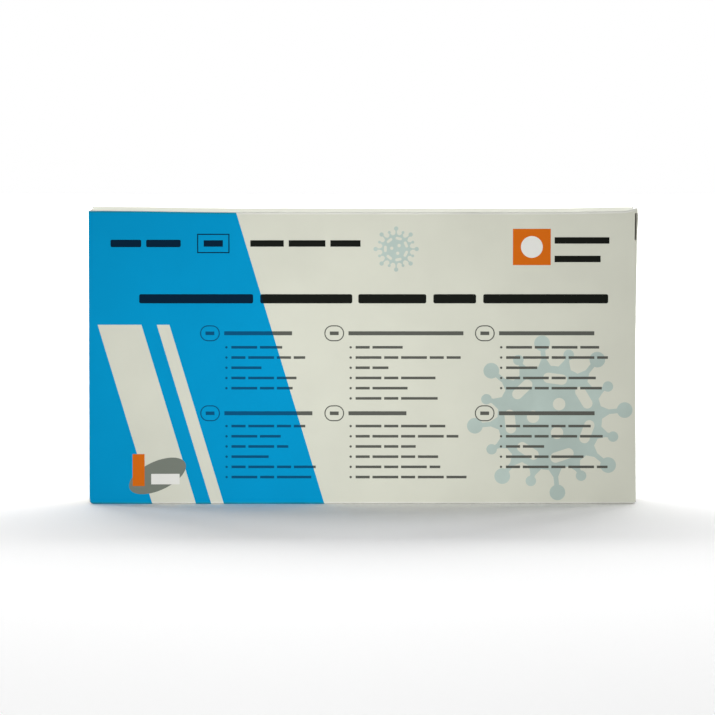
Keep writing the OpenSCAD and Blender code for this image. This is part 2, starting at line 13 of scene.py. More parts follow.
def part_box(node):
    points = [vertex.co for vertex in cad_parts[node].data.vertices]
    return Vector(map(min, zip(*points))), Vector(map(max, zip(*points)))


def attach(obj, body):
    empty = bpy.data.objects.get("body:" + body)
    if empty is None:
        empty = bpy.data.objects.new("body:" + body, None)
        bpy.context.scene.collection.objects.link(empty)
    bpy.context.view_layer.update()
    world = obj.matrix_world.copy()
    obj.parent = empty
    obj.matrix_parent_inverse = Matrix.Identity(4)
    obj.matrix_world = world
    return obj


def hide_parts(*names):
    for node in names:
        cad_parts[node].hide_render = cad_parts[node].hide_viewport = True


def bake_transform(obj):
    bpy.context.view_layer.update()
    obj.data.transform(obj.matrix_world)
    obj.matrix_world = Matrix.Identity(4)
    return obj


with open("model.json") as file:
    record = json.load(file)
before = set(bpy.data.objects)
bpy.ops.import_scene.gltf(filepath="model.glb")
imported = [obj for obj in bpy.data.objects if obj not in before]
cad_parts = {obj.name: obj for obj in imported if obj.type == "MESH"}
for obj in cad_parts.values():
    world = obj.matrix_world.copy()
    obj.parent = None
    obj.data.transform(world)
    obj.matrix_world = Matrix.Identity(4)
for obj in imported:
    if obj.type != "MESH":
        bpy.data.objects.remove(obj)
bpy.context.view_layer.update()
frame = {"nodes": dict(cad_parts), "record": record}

MM = 0.001

# Board, as in the CAD model
BOARD = 0.45
CREASE_IN = 0.25
FOLD = BOARD + CREASE_IN
PLAY = 0.15
CORNER = 1.6
SEAM_W = 13.0
SEAM_SLANT = 6.0
SEAM_STEP = 0.4
DUST_LEN = 24.0
DUST_TAPER = 2.0
DUST_ROOT = 8.0
DUST_GAP = 0.3
TONGUE_LEN = 12.0
TONGUE_R = 7.0
EAR_LEN = 8.8
SLIT = 0.6
INSET = 0.6
RELIEVED_INSET = 0.15
RELIEF_W = 0.87
EAR_SETBACK = 0.3

low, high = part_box("carton_sleeve")
WIDTH = round((high.x - low.x) / MM, 3)
DEPTH = round((high.y - low.y) / MM, 3)
HEIGHT = round((high.z - low.z) / MM, 3)
HALF_W = WIDTH / 2
HALF_D = DEPTH / 2
DUST_X = HALF_W - BOARD - PLAY
ROOM_Y = HALF_D - BOARD
REACH = DEPTH - BOARD - PLAY
TONGUE_TILT = math.asin((TONGUE_LEN + 2 * FOLD) / (2 * REACH)) + math.radians(1)
DUST_BACK = REACH * (1 - math.cos(TONGUE_TILT)) + 2 * BOARD + 2 * PLAY
TONGUE_Z = INSET + EAR_LEN + SLIT

# The relief in the front panel's right edge: where it ends at the top, and how high its end steps are
NOTCH_TOP = HEIGHT - 1.5
NOTCH_STEP = 0.03

# The crease at a closure's hinge: its radius, and the thickness of the outer layer that bends
HINGE_R = HALF_W - DUST_X
HINGE_LAYER = 0.2

# The gap between the glued flap and the bottom panel
GLUE_GAP = 0.02

# How the real carton has settled: its long top fold is a little higher at the ends, its right edge bows
# in, its upper right corner stands up, and the ear beside that corner leans outwards
LEFT_RISE = 0.5
LEFT_RISE_FROM = -40.0
LEFT_RISE_RUN = 45.0
RIGHT_RISE = 0.35
RIGHT_RISE_FROM = 64.0
RIGHT_RISE_RUN = 20.0
CORNER_LIFT = 0.95
CORNER_LIFT_RUN = 6.0
CORNER_LIFT_DEPTH = 9.0
CORNER_LIFT_HEIGHT = 8.0
EDGE_BOW = 0.3
EAR_SPLAY = 0.15
EAR_DROP = 0.7
TOP_SPREAD = 0.25
# The share of the height above which the long fold's rise is felt
RISE_ABOVE = 0.55
# The power that keeps the bow near the right edge, and the left closure's share of the bow
BOW_POWER = 12
LEFT_BOW = 0.3

# The camera in front of the carton: its height angle and its distance in metres, the picture's size and
# the front face's scale in it, and the pixel on which the middle of the front face falls
CAMERA_ELEVATION = math.radians(4.9)
CAMERA_DISTANCE = 2.0
PIXELS = 715
PIXELS_PER_MM = 3.0753
FRONT_MIDDLE_PX = (362.7, 358.4)
SENSOR_MM = 36.0
FARTHEST_SEEN = 100


def to_metres(x, y, z):
    return Vector((x * MM, y * MM, z * MM))


def smooth(t):
    """0 below 0, 1 above 1, with an even slope between."""
    t = min(max(t, 0.0), 1.0)
    return t * t * (3 - 2 * t)


def spread_at_top(z):
    """How far the right end stands out at a height: nothing in the lower half, and most at the top."""
    return TOP_SPREAD * smooth((z / HEIGHT - 0.5) * 2)


def settle(x, y, z):
    """Moves a point of the ideal carton to where it is on the settled one."""
    up = smooth((z / HEIGHT - RISE_ABOVE) / (1 - RISE_ABOVE))
    rise = LEFT_RISE * smooth((LEFT_RISE_FROM - x) / LEFT_RISE_RUN)
    rise += RIGHT_RISE * smooth((x - RIGHT_RISE_FROM) / RIGHT_RISE_RUN)
    lift = CORNER_LIFT * smooth((x - HALF_W + CORNER_LIFT_RUN) / CORNER_LIFT_RUN) ** 2
    lift *= smooth((HALF_D - y - DEPTH + CORNER_LIFT_DEPTH) / CORNER_LIFT_DEPTH)
    lift *= smooth((z - HEIGHT + CORNER_LIFT_HEIGHT) / CORNER_LIFT_HEIGHT)
    bow = EDGE_BOW * math.sin(math.pi * min(max(z / HEIGHT, 0), 1)) * max(x / HALF_W, 0) ** BOW_POWER
    out = spread_at_top(z) * smooth((x - RIGHT_RISE_FROM) / RIGHT_RISE_RUN)
    return x - bow + out, y, z + rise * up + lift


# The coloured field, in hundredths of the front panel's width and height: its right edge at the bottom,
# how far its edges slant over the height, its two bare bands at the bottom, and how high they reach
FIELD_RIGHT_BOTTOM = 43.0
FIELD_SLANT = 16.1
BANDS = [(11.5, 19.5), (22.3, 24.6)]
BAND_TOP = 62.0

# In millimetres: how high the field's ink stands on the card, its thickness, which is a little less so
# that it clears the card, and how far it runs into the top fold
INK_LIFT = 0.04
FIELD_INK_T = INK_LIFT * 0.9
TOP_WRAP = 0.55


def across(u):
    """A place on the artwork, in hundredths of the front panel's width."""
    return WIDTH * (u / 100 - 0.5)


# Mesh helpers


def new_object(name, bm, materials):
    """A linked object with the mesh that bm holds, and its materials in order."""
    mesh = bpy.data.meshes.new(name)
    bm.to_mesh(mesh)
    bm.free()
    obj = bpy.data.objects.new(name, mesh)
    bpy.context.scene.collection.objects.link(obj)
    for material in materials:
        mesh.materials.append(material)
    return obj


def add_grid(bm, rows, material_index=0):
    """Joins rows of points, which all have as many, with four-sided faces.

    material_index is one slot for all faces, or a list with a slot for each strip between two rows.
    """
    made = [[bm.verts.new(p) for p in row] for row in rows]
    slots = material_index if isinstance(material_index, list) else [material_index] * len(rows)
    for r in range(len(made) - 1):
        for c in range(len(made[r]) - 1):
            face = bm.faces.new((made[r][c], made[r][c + 1], made[r + 1][c + 1], made[r + 1][c]))
            face.material_index = slots[r]


def join_points(bm, nearer_than=0.002):
    """Joins points that are nearer than this to each other, in millimetres."""
    bmesh.ops.remove_doubles(bm, verts=bm.verts, dist=nearer_than * MM)


def spread(a, b, count):
    """count + 1 numbers from a to b."""
    return [a + (b - a) * i / count for i in range(count + 1)]


def bake_modifiers(obj):
    """Puts the result of the object's modifiers in its mesh."""
    bpy.context.view_layer.update()
    evaluated = obj.evaluated_get(bpy.context.evaluated_depsgraph_get())
    mesh = bpy.data.meshes.new_from_object(evaluated)
    old = obj.data
    obj.modifiers.clear()
    obj.data = mesh
    bpy.data.meshes.remove(old)


def thicken(obj, thickness_mm, inside=1, rim=2):
    """Gives a sheet its thickness, on the side away from its normals.

    inside and rim are how many material slots on the inner side and the cut edges take theirs.
    """
    solid = obj.modifiers.new("board", "SOLIDIFY")
    solid.thickness = thickness_mm * MM
    solid.offset = -1
    solid.use_even_offset = True
    solid.material_offset = inside
    solid.material_offset_rim = rim
    bake_modifiers(obj)


def smooth_shading(obj, angle=35.0):
    """Shades smoothly, with sharp edges where faces meet at more than the angle, in degrees."""
    mesh = obj.data
    mesh.polygons.foreach_set("use_smooth", [True] * len(mesh.polygons))
    mesh.set_sharp_from_angle(angle=math.radians(angle))


# Materials


def new_material(name, colour, roughness, metallic=0.0, specular=0.5):
    """A material with its node tree and its shader. Colours are linear, as all of them are here."""
    material = bpy.data.materials.new(name)
    material.use_nodes = True
    shader = material.node_tree.nodes["Principled BSDF"]
    shader.inputs["Base Color"].default_value = (*colour, 1)
    shader.inputs["Roughness"].default_value = roughness
    shader.inputs["Metallic"].default_value = metallic
    shader.inputs["Specular IOR Level"].default_value = specular
    return material, material.node_tree, shader


def noise_node(tree, scale, detail=4.0, roughness=0.5, stretch=(1, 1, 1)):
    """Noise over the piece, in its own coordinates. scale is in waves a metre."""
    place = tree.nodes.new("ShaderNodeTexCoord")
    mapping = tree.nodes.new("ShaderNodeMapping")
    mapping.inputs["Scale"].default_value = stretch
    wave = tree.nodes.new("ShaderNodeTexNoise")
    wave.inputs["Scale"].default_value = scale
    wave.inputs["Detail"].default_value = detail
    wave.inputs["Roughness"].default_value = roughness
    tree.links.new(place.outputs["Object"], mapping.inputs["Vector"])
    tree.links.new(mapping.outputs["Vector"], wave.inputs["Vector"])
    return wave


def add_bump(tree, shader, layers):
    """Stacks bump layers, each (noise node, strength, distance in mm)."""
    last = None
    for wave, strength, distance in layers:
        bump = tree.nodes.new("ShaderNodeBump")
        bump.inputs["Strength"].default_value = strength
        bump.inputs["Distance"].default_value = distance * MM
        tree.links.new(wave.outputs["Fac"], bump.inputs["Height"])
        if last:
            tree.links.new(last.outputs["Normal"], bump.inputs["Normal"])
        last = bump
    tree.links.new(last.outputs["Normal"], shader.inputs["Normal"])


def vary_colour(tree, shader, wave, dark, light, low_stop=0.35, high_stop=0.65):
    """Lets the noise carry the shader's colour from dark to light."""
    ramp = tree.nodes.new("ShaderNodeValToRGB")
    ramp.color_ramp.elements[0].position = low_stop
    ramp.color_ramp.elements[0].color = (*dark, 1)
    ramp.color_ramp.elements[1].position = high_stop
    ramp.color_ramp.elements[1].color = (*light, 1)
    tree.links.new(wave.outputs["Fac"], ramp.inputs["Fac"])
    tree.links.new(ramp.outputs["Color"], shader.inputs["Base Color"])


def shade(colour, factor):
    """The colour times a factor, with no channel over 1."""
    return tuple(min(c * factor, 1.0) for c in colour)


def coated(name, colour, roughness=0.5, spread_of_colour=0.02, specular=0.01):
    """Coated board or ink on it: faint mottle, fine fibre bump and a slow waviness."""
    material, tree, shader = new_material(name, colour, roughness, specular=specular)
    mottle = noise_node(tree, 60, detail=6)
    dark = shade(colour, 1 - spread_of_colour)
    light = shade(colour, 1 + spread_of_colour)
    vary_colour(tree, shader, mottle, dark, light)
    fibre = noise_node(tree, 2600, detail=3, stretch=(0.5, 1, 1))
    wavy = noise_node(tree, 14, detail=2)
    add_bump(tree, shader, [(wavy, 0.2, 0.4), (fibre, 0.12, 0.03)])
    return material


def ink_across_field(name, on_card, on_field):
    """Ink that takes up the colour of the field to the left of the field's slanted right edge."""
    material, tree, shader = new_material(name, on_card, 0.5, specular=0.01)
    place = tree.nodes.new("ShaderNodeTexCoord")
    along = tree.nodes.new("ShaderNodeVectorMath")
    along.operation = "DOT_PRODUCT"
    along.inputs[1].default_value = (1, 0, WIDTH * FIELD_SLANT / 100 / HEIGHT)
    off_field = tree.nodes.new("ShaderNodeMath")
    off_field.operation = "GREATER_THAN"
    off_field.inputs[1].default_value = across(FIELD_RIGHT_BOTTOM) * MM
    tone = tree.nodes.new("ShaderNodeValToRGB")
    tone.color_ramp.elements[0].color = (*on_field, 1)
    tone.color_ramp.elements[1].color = (*on_card, 1)
    tree.links.new(place.outputs["Object"], along.inputs[0])
    tree.links.new(along.outputs["Value"], off_field.inputs[0])
    tree.links.new(off_field.outputs["Value"], tone.inputs["Fac"])
    tree.links.new(tone.outputs["Color"], shader.inputs["Base Color"])
    return material


def raw_board(name, colour, contrast=0.08):
    """The uncoated side or the cut edge of board: matt, with visible fibres."""
    material, tree, shader = new_material(name, colour, 0.85, specular=0.2)
    fibre = noise_node(tree, 900, detail=6, roughness=0.7, stretch=(0.35, 1, 1))
    vary_colour(tree, shader, fibre, shade(colour, 1 - contrast), shade(colour, 1 + contrast))
    fine = noise_node(tree, 3000, detail=4)
    add_bump(tree, shader, [(fine, 0.3, 0.05)])
    return material


# Colours of the board and its print
CARD = (0.613, 0.62, 0.53)
# Paler card on the folds: partly the coating cracked at the crease, partly a painted highlight where the
# folds catch the light
CARD_CREASE_WORN_AND_LIT = (0.70, 0.70, 0.64)
BLUE = (0.0, 0.268, 0.53)
# Darker blue on the folds, as painted shade of the folds' rounding
BLUE_CREASE_SHADED = (0.01, 0.27, 0.42)
DARK_INK = (0.008, 0.009, 0.007)
DARK_INK_ON_FIELD = (0.001, 0.014, 0.035)
SOFT_INK = (0.095, 0.098, 0.085)
SOFT_INK_ON_FIELD = (0.002, 0.075, 0.175)
ORANGE = (0.6, 0.13, 0.007)
WHITE_INK = (0.72, 0.72, 0.68)
TEAL = (0.42, 0.505, 0.465)
GREY = (0.17, 0.19, 0.16)
INSIDE = (0.56, 0.54, 0.49)
# The cut edge: the raw board's grey, darkened further as painted shade, so that the strip beside the right
# upper ear reads dark
CUT_EDGE_WITH_SHADE = (0.40, 0.395, 0.33)

# Colours of the contents
LEAFLET_WHITE = (0.80, 0.80, 0.77)
BAG_YELLOW = (0.78, 0.58, 0.04)
CLEAR_PLASTIC = (0.80, 0.86, 0.88)
WHITE_PLASTIC = (0.80, 0.80, 0.78)
AMPOULE_PLASTIC = (0.74, 0.82, 0.86)
FOIL = (0.62, 0.63, 0.64)
FOIL_DARK = (0.5, 0.51, 0.53)
FOIL_LIGHT = (0.72, 0.73, 0.74)
PLASTIC_IOR = 1.49

card = coated("card_outside", CARD)
# The folds' card is paler, partly as a painted highlight
card_crease_worn_and_lit = coated("card_crease_worn_and_lit", CARD_CREASE_WORN_AND_LIT, roughness=0.6, spread_of_colour=0.06)
card_inside = raw_board("card_inside", INSIDE)
# The cut edges are darkened as painted shade
card_edge_with_shade = raw_board("card_edge_with_shade", CUT_EDGE_WITH_SHADE, contrast=0.2)
blue = coated("ink_blue", BLUE)
# The blue on the folds is darker, as painted shade
blue_crease_shaded = coated("ink_blue_crease", BLUE_CREASE_SHADED, spread_of_colour=0.15)
inks = {
    "ink_dark": ink_across_field("ink_dark", DARK_INK, DARK_INK_ON_FIELD),
    "ink_orange": coated("ink_orange", ORANGE),
    "ink_white": coated("ink_white", WHITE_INK),
    "ink_teal": coated("ink_teal", TEAL, spread_of_colour=0.08),
    "ink_grey": coated("ink_grey", GREY),
}
soft_ink = ink_across_field("ink_soft", SOFT_INK, SOFT_INK_ON_FIELD)
SOFT_PRINTS = ("print_heading_bars", "print_list_bars", "print_rings")

# A sheet's slots: outside, inside and cut edge, and the same for its creases. The creases' outside is paler
# card, partly a painted highlight, and the cut edges are darkened as painted shade
SHEET_MATERIALS = [card, card_inside, card_edge_with_shade, card_crease_worn_and_lit, card_inside, card_edge_with_shade]
CREASE_SLOT = 3


# The carton's girth: the way round it in the YZ plane, from the bottom panel's cut edge at the back,
# forwards, up the front, back over the top, down the back and forwards again along the seam flap


def girth_parts():
    """The girth's straight and curved stretches: name, length, and a function from the run along it.

    The function gives the place and the outward normal, (y, z, ny, nz).
    """
    quarter = FOLD * math.pi / 2

    def line(y0, z0, dy, dz, ny, nz):
        """A straight stretch from a place, in a direction, with its normal."""
        return lambda s: (y0 + dy * s, z0 + dz * s, ny, nz)

    def bend(cy, cz, start):
        """A quarter turn, clockwise as seen from +X, that starts at the angle given."""

        def place(s):
            a = math.radians(start) - s / FOLD
            return cy + FOLD * math.cos(a), cz + FOLD * math.sin(a), math.cos(a), math.sin(a)

        return place

    front_run = HEIGHT - 2 * FOLD
    top_run = DEPTH - 2 * FOLD
    back_run = HEIGHT - BOARD - 2 * FOLD
    return [
        ("bottom", DEPTH - FOLD - SEAM_STEP, line(HALF_D - SEAM_STEP, 0, -1, 0, 0, -1)),
        ("fold_front_bottom", quarter, bend(-HALF_D + FOLD, FOLD, 270)),
        ("front", front_run, line(-HALF_D, FOLD, 0, 1, -1, 0)),
        ("fold_front_top", quarter, bend(-HALF_D + FOLD, HEIGHT - FOLD, 180)),
        ("top", top_run, line(-HALF_D + FOLD, HEIGHT, 1, 0, 0, 1)),
        ("fold_back_top", quarter, bend(HALF_D - FOLD, HEIGHT - FOLD, 90)),
        ("back", back_run, line(HALF_D, HEIGHT - FOLD, 0, -1, 1, 0)),
        ("fold_seam", quarter, bend(HALF_D - FOLD, BOARD + FOLD, 0)),
        ("seam", SEAM_W - CREASE_IN, line(HALF_D - FOLD, BOARD + GLUE_GAP, -1, 0, 0, -1)),
    ]


GIRTH = {name: (length, place) for name, length, place in girth_parts()}


def on_girth(part, run, lift=0.0):
    """(y, z) on the outer face of a part of the girth, run along it, raised by lift."""
    y, z, ny, nz = GIRTH[part][1](run)
    return y + ny * lift, z + nz * lift


# Where the folds to the dust flaps start, and the half width of the middle that all rows share
PANEL_X = DUST_X - FOLD
CORE_X = 80.0

# Numbers of strips across the sleeve: over that middle, from there to the folds, and past the folds
CORE_COLUMNS = 40
SIDE_COLUMNS = 6
END_COLUMNS = 2

# Numbers of strips round the girth: in a fold and a plain panel, and on the front panel from the rounded
# corner upwards to the relief, over the relief, and above it
FOLD_ROWS = 6
PANEL_ROWS = 10
CORNER_ROWS = 5
FRONT_ROWS = 20
NOTCH_ROWS = 6
RIM_ROWS = 2

# Number of strips across a dust flap
DUST_COLUMNS = 8

# A point on the rounding of a dust flap's free corners, in shares of its taper: how far it is from the
# free edge and how far in
DUST_ROUND_UP = 0.3
DUST_ROUND_IN = 1.4


def end_limits(part, run):
    """Where the sheet ends on the left and on the right, at a place on the girth."""
    if part in ("bottom", "top"):
        return -PANEL_X, PANEL_X
    if part in ("fold_back_top", "back", "fold_seam"):
        return -DUST_X, DUST_X
    if part == "seam":
        cut = SEAM_SLANT * run / GIRTH["seam"][0]
        return cut - PANEL_X, PANEL_X - cut
    left, right = -HALF_W, HALF_W
    z = on_girth(part, run)[1]
    if z < CORNER:
        inset = min(CORNER - math.sqrt(max(CORNER**2 - (CORNER - z) ** 2, 0)), HALF_W - PANEL_X)
        left += inset
        right -= inset
    if HEIGHT - INSET - EAR_LEN < z < NOTCH_TOP + NOTCH_STEP / 2:
        right -= RELIEF_W
    return left, right


def columns_of(part, run):
    """The places of a row's points across the carton. Rows share them between the dust flaps' folds."""
    left, right = end_limits(part, run)
    core = spread(-CORE_X, CORE_X, CORE_COLUMNS)
    left_side = spread(max(left, -PANEL_X), -CORE_X, SIDE_COLUMNS)[:-1]
    right_side = spread(CORE_X, min(right, PANEL_X), SIDE_COLUMNS)[1:]
    panel = left_side + core + right_side
    if part in ("bottom", "top", "seam"):
        return panel
    return spread(left, -PANEL_X, END_COLUMNS)[:-1] + panel + spread(PANEL_X, right, END_COLUMNS)[1:]


# The places in the carton's depth at which the dust flaps, and the panels that carry them, have points
DUST_Y = spread(-ROOM_Y + DUST_BACK, ROOM_Y - DUST_GAP, DUST_COLUMNS)


def runs_of(part):
    """The places along a part of the girth where the sheet has a row of points."""
    length = GIRTH[part][0]
    if part.startswith("fold"):
        return spread(0, length, FOLD_ROWS)
    if part == "top":
        return [0] + [y + HALF_D - FOLD for y in DUST_Y] + [length]
    if part == "bottom":
        return [0] + [HALF_D - SEAM_STEP - y for y in reversed(DUST_Y)] + [length]
    if part != "front":
        return spread(0, length, PANEL_ROWS)
    relief = HEIGHT - INSET - EAR_LEN - FOLD
    notch_from = relief + NOTCH_STEP
    notch_to = NOTCH_TOP - FOLD
    panel = spread(0, CORNER - FOLD, CORNER_ROWS) + spread(CORNER - FOLD, relief, FRONT_ROWS)[1:]
    notch = spread(notch_from, notch_to, NOTCH_ROWS)
    return panel + notch + spread(notch_to + NOTCH_STEP, length, RIM_ROWS)


def make_sleeve():
    """The glued tube of the carton, with its seam flap and its four dust flaps."""
    bm = bmesh.new()
    for part in GIRTH:
        rows = []
        for run in runs_of(part):
            y, z = on_girth(part, run)
            rows.append([to_metres(*settle(x, y, z)) for x in columns_of(part, run)])
        # Fold rows take the paler crease card, partly a painted highlight
        add_grid(bm, rows, CREASE_SLOT if part.startswith("fold") else 0)
    for side in (-1, 1):
        for end in (-1, 1):
            add_dust_flap(bm, side, end)
    join_points(bm)
    sleeve = new_object("carton_board", bm, SHEET_MATERIALS)
    thicken(sleeve, BOARD)
    smooth_shading(sleeve)
    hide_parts("carton_sleeve")
    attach(sleeve, "carton")


def add_dust_flap(bm, side, end):
    """One dust flap: side is 1 on the right, end is 1 at the top."""
    rows = []
    slots = []

    def add_row(x, z, narrow, slot):
        run = spread(DUST_Y[0] + narrow, DUST_Y[-1] - narrow, DUST_COLUMNS)
        if side * end > 0:
            run.reverse()
        rows.append([to_metres(*settle(side * x, y, z if end > 0 else HEIGHT - z)) for y in run])
        slots.append(slot)

    # The dust flap's fold takes the paler crease card, partly a painted highlight
    for a in spread(0, math.pi / 2, FOLD_ROWS):
        add_row(PANEL_X + FOLD * math.sin(a), HEIGHT - FOLD + FOLD * math.cos(a), 0, CREASE_SLOT)
    add_row(DUST_X, HEIGHT - DUST_ROOT, 0, 0)
    add_row(DUST_X, HEIGHT - DUST_LEN + DUST_TAPER, DUST_TAPER, 0)
    add_row(DUST_X, HEIGHT - DUST_LEN + DUST_TAPER * DUST_ROUND_UP, DUST_TAPER * DUST_ROUND_IN, 0)
    add_row(DUST_X, HEIGHT - DUST_LEN, DUST_TAPER * 2, 0)
    add_grid(bm, rows, slots[1:])


# End closures

# Numbers of strips in a closure: across an ear and across the tongue, over the panel, round the fold to
# the tongue, on the tongue's straight part and round its free corners, and along an ear past the fold
EAR_COLUMNS = 4
TONGUE_COLUMNS = 24
CLOSURE_ROWS = 12
BEND_ROWS = 8
STRAIGHT_ROWS = 3
ROUND_ROWS = 9
EAR_ROWS = 4

# Numbers of strips in a hinge crease: along the hinge and round it
CREASE_COLUMNS = 40
CREASE_ROWS = 8


def closure_path(run):
    """Where the outer face of the right closure is in plan, run along it from the hinge line.

    It gives (x, y) from the hinge line.
    """
    flat = REACH - FOLD
    if run <= flat:
        return 0.0, -run
    turn = min((run - flat) / FOLD, math.pi / 2 + TONGUE_TILT)
    x = -FOLD + FOLD * math.cos(turn)
    y = -flat - FOLD * math.sin(turn)
    rest = run - flat - turn * FOLD
    return x - rest * math.cos(TONGUE_TILT), y + rest * math.sin(TONGUE_TILT)


def make_closure(name, side):
    """An end closure with its tongue and ears.

    side is 1 on the right, where the upper ear shows beside the front panel, and -1 on the left.
    """
    bend_run = FOLD * (math.pi / 2 + TONGUE_TILT)
    flat = REACH - FOLD
    tongue_from = flat + bend_run
    bm = bmesh.new()

    def bowed(x, y, z):
        """x on the settled closure, which bows and spreads more, the farther from the hinge."""
        away = smooth((HALF_D - y) / DEPTH)
        bow = EDGE_BOW * math.sin(math.pi * z / HEIGHT) * (1 if side > 0 else LEFT_BOW)
        out = spread_at_top(z) if side > 0 else 0
        return x + (out - bow) * away

    def row(run, heights):
        px, py = closure_path(run)
        x, y = HALF_W + px, HALF_D + py
        ordered = heights if side > 0 else reversed(heights)
        return [to_metres(side * bowed(x, y, z), y, z) for z in ordered]

    top_inset = RELIEVED_INSET if side > 0 else INSET
    low_ear = spread(INSET, INSET + EAR_LEN, EAR_COLUMNS)
    high_ear = spread(HEIGHT - INSET - EAR_LEN, HEIGHT - top_inset, EAR_COLUMNS)
    middle = spread(TONGUE_Z, HEIGHT - TONGUE_Z, TONGUE_COLUMNS)
    panel = low_ear + middle + high_ear
    add_grid(bm, [row(run, panel) for run in spread(HINGE_R, flat, CLOSURE_ROWS)])
    tongue = [row(run, middle) for run in spread(flat, tongue_from, BEND_ROWS)]
    # The bend to the tongue takes the paler crease card, partly a painted highlight
    slots = [CREASE_SLOT] * BEND_ROWS
    for d in spread(0, TONGUE_LEN - TONGUE_R, STRAIGHT_ROWS)[1:]:
        tongue.append(row(tongue_from + d, middle))
        slots.append(0)
    for a in spread(0, 90, ROUND_ROWS)[1:]:
        inset = TONGUE_R * (1 - math.cos(math.radians(a)))
        d = TONGUE_LEN - TONGUE_R + TONGUE_R * math.sin(math.radians(a))
        narrower = spread(TONGUE_Z + inset, HEIGHT - TONGUE_Z - inset, TONGUE_COLUMNS)
        tongue.append(row(tongue_from + d, narrower))
        slots.append(0)
    add_grid(bm, tongue, slots)

    def add_ear(heights, far, splay, drop):
        """An ear, which runs straight on past the fold. Its free corner may stand out and lie lower."""
        rows = []
        for run in spread(flat, far, EAR_ROWS):
            y = HALF_D - run
            past = smooth((run - flat) / (far - flat))
            points = []
            for z in heights:
                up = (z - heights[0]) / EAR_LEN
                x = bowed(HALF_W, y, z) + splay * past * up
                points.append(to_metres(side * x, y, z - drop * past * up))
            rows.append(points if side > 0 else points[::-1])
        add_grid(bm, rows)

    add_ear(low_ear, REACH, 0, 0)
    if side > 0:
        add_ear(high_ear, DEPTH - EAR_SETBACK, EAR_SPLAY, EAR_DROP)
    else:
        add_ear(high_ear, REACH, 0, 0)
    join_points(bm)
    closure = new_object(name + "_board", bm, SHEET_MATERIALS)
    thicken(closure, BOARD)
    smooth_shading(closure)
    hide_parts(name)
    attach(closure, name)


def make_hinge_crease(name, side):
    """The outer layer of the board round a closure's hinge, in a fixed quarter round."""
    heights = spread(INSET, HEIGHT - INSET, CREASE_COLUMNS)
    bm = bmesh.new()
    rows = []
    for a in spread(0, math.pi / 2, CREASE_ROWS):
        x = side * (DUST_X + HINGE_R * math.sin(a))
        y = HALF_D - HINGE_R + HINGE_R * math.cos(a)
        share = a / (math.pi / 2)
        points = [to_metres(*settle(x, y, z)).lerp(to_metres(x, y, z), share) for z in heights]
        rows.append(points if side > 0 else points[::-1])
    # The crease takes the paler crease card, partly a painted highlight
    add_grid(bm, rows, CREASE_SLOT)
    crease = new_object(name + "_crease", bm, SHEET_MATERIALS)
    thicken(crease, HINGE_LAYER)
    smooth_shading(crease)
    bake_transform(crease)


# The coloured field, which wraps round the bottom fold and into the top one

# Numbers of strips up the field on the front panel and in a fold
FIELD_ROWS = 60
FIELD_FOLD_ROWS = 5

# How near a row's height has to be to a limit to count as on it
SAME_HEIGHT = 1e-6


def slanted_x(u, z):
    """Where a slanted edge that starts at u at the bottom is at a height."""
    return across(u) - WIDTH * FIELD_SLANT / 100 * z / HEIGHT


def field_rows(z_from, z_to):
    """(part, run, z) at each row of the field between two heights."""
    rows = []
    for part in ("fold_front_bottom", "front", "fold_front_top"):
        length = TOP_WRAP if part == "fold_front_top" else GIRTH[part][0]
        for run in spread(0, length, FIELD_ROWS if part == "front" else FIELD_FOLD_ROWS):
            z = on_girth(part, run)[1]
            if z_from - SAME_HEIGHT <= z <= z_to + SAME_HEIGHT:
                rows.append((part, run, z))
    return rows


def add_field_patch(bm, z_from, z_to, left, right, columns):
    """The field between two heights and two slanted edges. With no left edge it goes to the panel's end."""
    rows = []
    slots = []
    for part, run, z in field_rows(z_from, z_to):
        y, raised_z = on_girth(part, run, INK_LIFT)
        x_from = end_limits(part, run)[0] if left is None else slanted_x(left, z)
        places = spread(x_from, slanted_x(right, z), columns)
        rows.append([to_metres(*settle(x, y, raised_z)) for x in places])
        # Rows in the folds take the darker blue, painted shade of the folds' rounding
        slots.append(0 if part == "front" else 1)
    add_grid(bm, rows, slots[1:])


def make_field():
    """The field, with its bare bands left open up to the row nearest to their top."""
    band_z = round(FIELD_ROWS * BAND_TOP / 100) * GIRTH["front"][0] / FIELD_ROWS + FOLD
    bm = bmesh.new()
    add_field_patch(bm, 0, band_z, None, BANDS[0][0], columns=8)
    add_field_patch(bm, 0, band_z, BANDS[0][1], BANDS[1][0], columns=4)
    add_field_patch(bm, 0, band_z, BANDS[1][1], FIELD_RIGHT_BOTTOM, columns=10)
    add_field_patch(bm, band_z, HEIGHT, None, FIELD_RIGHT_BOTTOM, columns=30)
    join_points(bm, 0.001)
    field = new_object("blue_field_ink", bm, [blue, blue_crease_shaded])
    thicken(field, FIELD_INK_T, inside=0, rim=0)
    smooth_shading(field)
    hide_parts("print_field")
    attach(field, "carton")


# CAD nodes that keep their shape and get their finish here


def dress(node, material, smooth_it=False):
    """Gives a CAD node its material, and smooth shading where that is asked for."""
    obj = frame["nodes"][node]
    obj.data.materials.clear()
    obj.data.materials.append(material)
    if smooth_it:
        smooth_shading(obj, 30)


def make_prints():
    """Gives the print nodes their inks. The field has its own piece, and its ink isn't in the list."""
    slots = {s["node"]: s["material_slot"] for s in frame["record"]["subparts"]}
    for node in frame["nodes"]:
        if node in SOFT_PRINTS:
            dress(node, soft_ink)
        elif node.startswith("print_") and slots[node] in inks:
            dress(node, inks[slots[node]])


